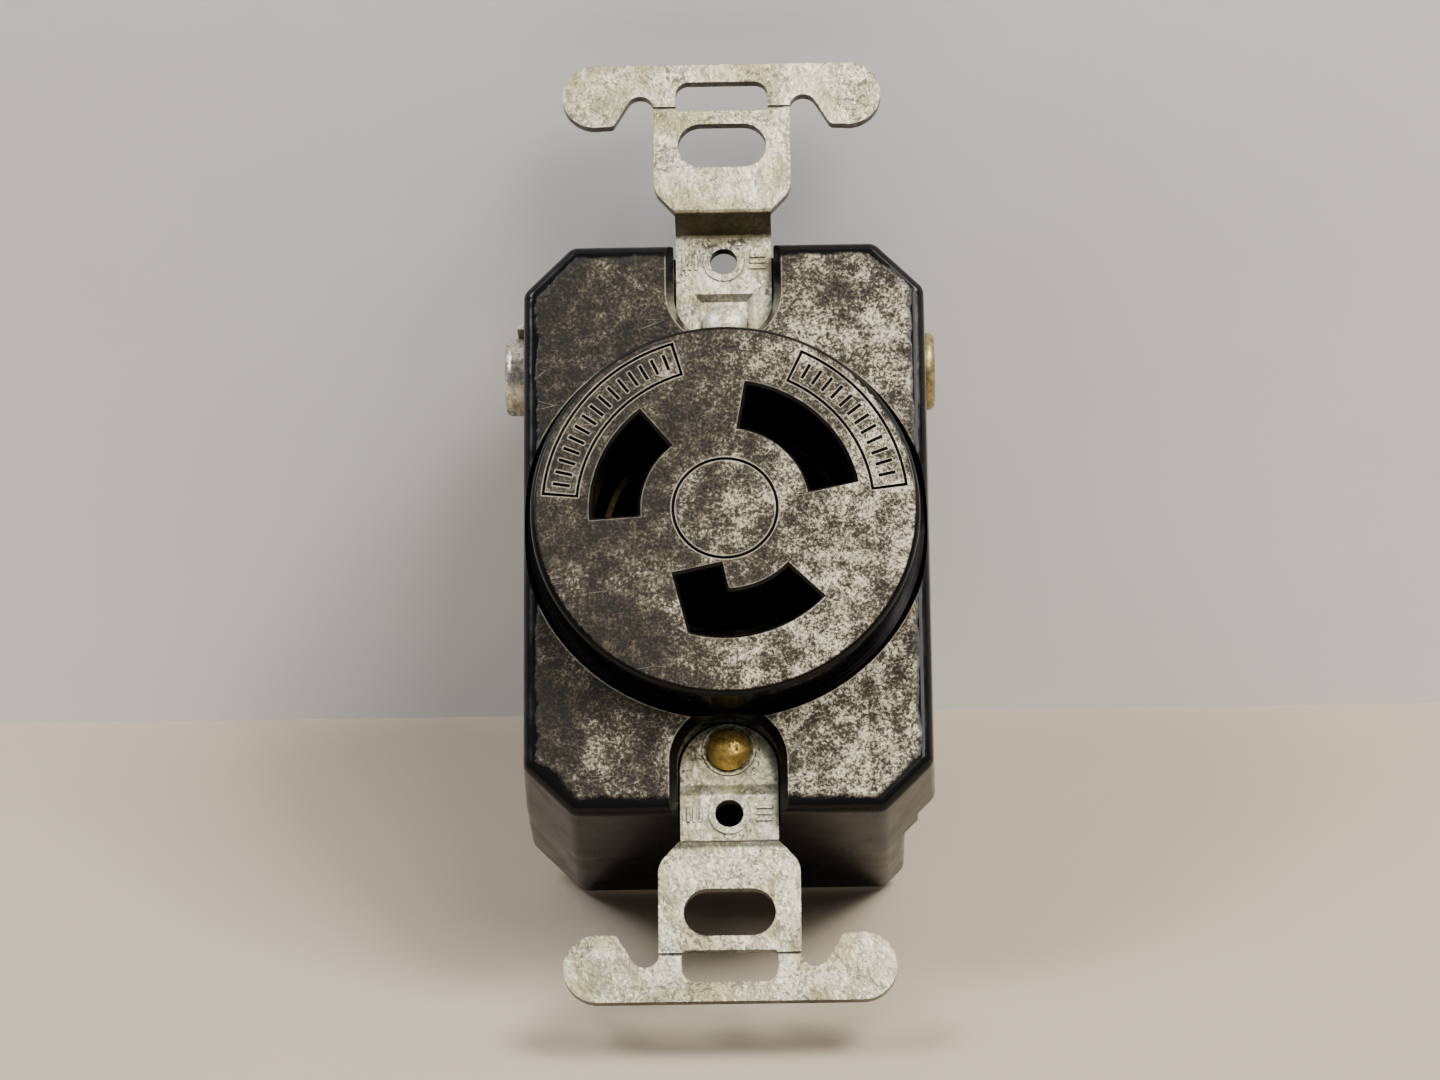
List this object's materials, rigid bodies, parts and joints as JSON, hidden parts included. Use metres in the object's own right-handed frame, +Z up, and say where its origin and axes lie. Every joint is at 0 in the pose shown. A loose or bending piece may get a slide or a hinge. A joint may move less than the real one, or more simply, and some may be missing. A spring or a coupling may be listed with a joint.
{
  "type": "locking electrical receptacle",
  "caption": "Single locking wall receptacle: a round face with curved blade slots on a black moulded body, hung on two plated mounting straps.",
  "frame": {"origin": "on the wall plane, which the backs of the strap ears touch, midway between the two mounting slots", "axes": "+X to the viewer's right, +Y into the wall, so the face looks along -Y, +Z up along the straps"},
  "size_m": [0.0458, 0.0342, 0.1018],
  "materials": {
    "black_moulding": "moulded black thermoset, glossy bevels and worn faces",
    "zinc_plate": "zinc plated steel, satin and tarnished",
    "silver_rivet": "bright plated rivet",
    "brass_rivet": "worn brass",
    "contact_brass": "spring brass",
    "terminal_brass": "tarnished brass",
    "terminal_nickel": "nickel plated",
    "ground_green": "green dyed plating",
    "bond_steel": "zinc plated steel"
  },
  "bodies": {
    "housing": {"front_cover": "black_moulding", "rear_body": "black_moulding", "upper_mounting_strap": "zinc_plate", "lower_mounting_strap": "zinc_plate", "upper_rivet": "silver_rivet", "lower_rivet": "brass_rivet", "neutral_contact": "contact_brass", "hot_contact": "contact_brass", "ground_contact": "contact_brass", "neutral_contact_rivet": "contact_brass", "hot_contact_rivet": "contact_brass", "ground_contact_rivet": "contact_brass", "hot_terminal_plate": "terminal_brass", "ground_terminal_plate": "terminal_brass", "neutral_terminal_plate": "terminal_nickel", "ground_bond_strip": "bond_steel"},
    "neutral_clamp": {"neutral_clamp_plate": "terminal_nickel"},
    "neutral_screw": {"neutral_terminal_screw": "terminal_nickel"},
    "hot_clamp": {"hot_clamp_plate": "terminal_brass"},
    "hot_screw": {"hot_terminal_screw": "terminal_brass"},
    "ground_clamp": {"ground_clamp_plate": "bond_steel"},
    "ground_screw": {"ground_terminal_screw": "ground_green"}
  },
  "joints": [
    {"name": "neutral_clamp_travel", "type": "slide", "parent": "housing", "child": "neutral_clamp", "axis": [-1, 0, 0], "range_m": [-0.00139, 0.00179]},
    {"name": "neutral_screw_turn", "type": "hinge", "parent": "neutral_clamp", "child": "neutral_screw", "pos_m": [-0.0189, 0.0168, 0.0226], "axis": [-1, 0, 0], "range_deg": [-631, 811]},
    {"name": "hot_clamp_travel", "type": "slide", "parent": "housing", "child": "hot_clamp", "axis": [1, 0, 0], "range_m": [0, 0.00317]},
    {"name": "hot_screw_turn", "type": "hinge", "parent": "hot_clamp", "child": "hot_screw", "pos_m": [0.0189, 0.0168, 0.0226], "axis": [1, 0, 0], "range_deg": [0, 1441]},
    {"name": "ground_clamp_travel", "type": "slide", "parent": "housing", "child": "ground_clamp", "axis": [1, 0, 0], "range_m": [-0.00056, 0.00159]},
    {"name": "ground_screw_turn", "type": "hinge", "parent": "ground_clamp", "child": "ground_screw", "pos_m": [0.0157, 0.0168, -0.0226], "axis": [1, 0, 0], "range_deg": [-256, 721]}
  ],
  "couplings": [
    {"joint": "neutral_screw_turn", "follows": "neutral_clamp_travel", "rad_per_m": 7915.8},
    {"joint": "hot_screw_turn", "follows": "hot_clamp_travel", "rad_per_m": 7915.8},
    {"joint": "ground_screw_turn", "follows": "ground_clamp_travel", "rad_per_m": 7915.8}
  ]
}
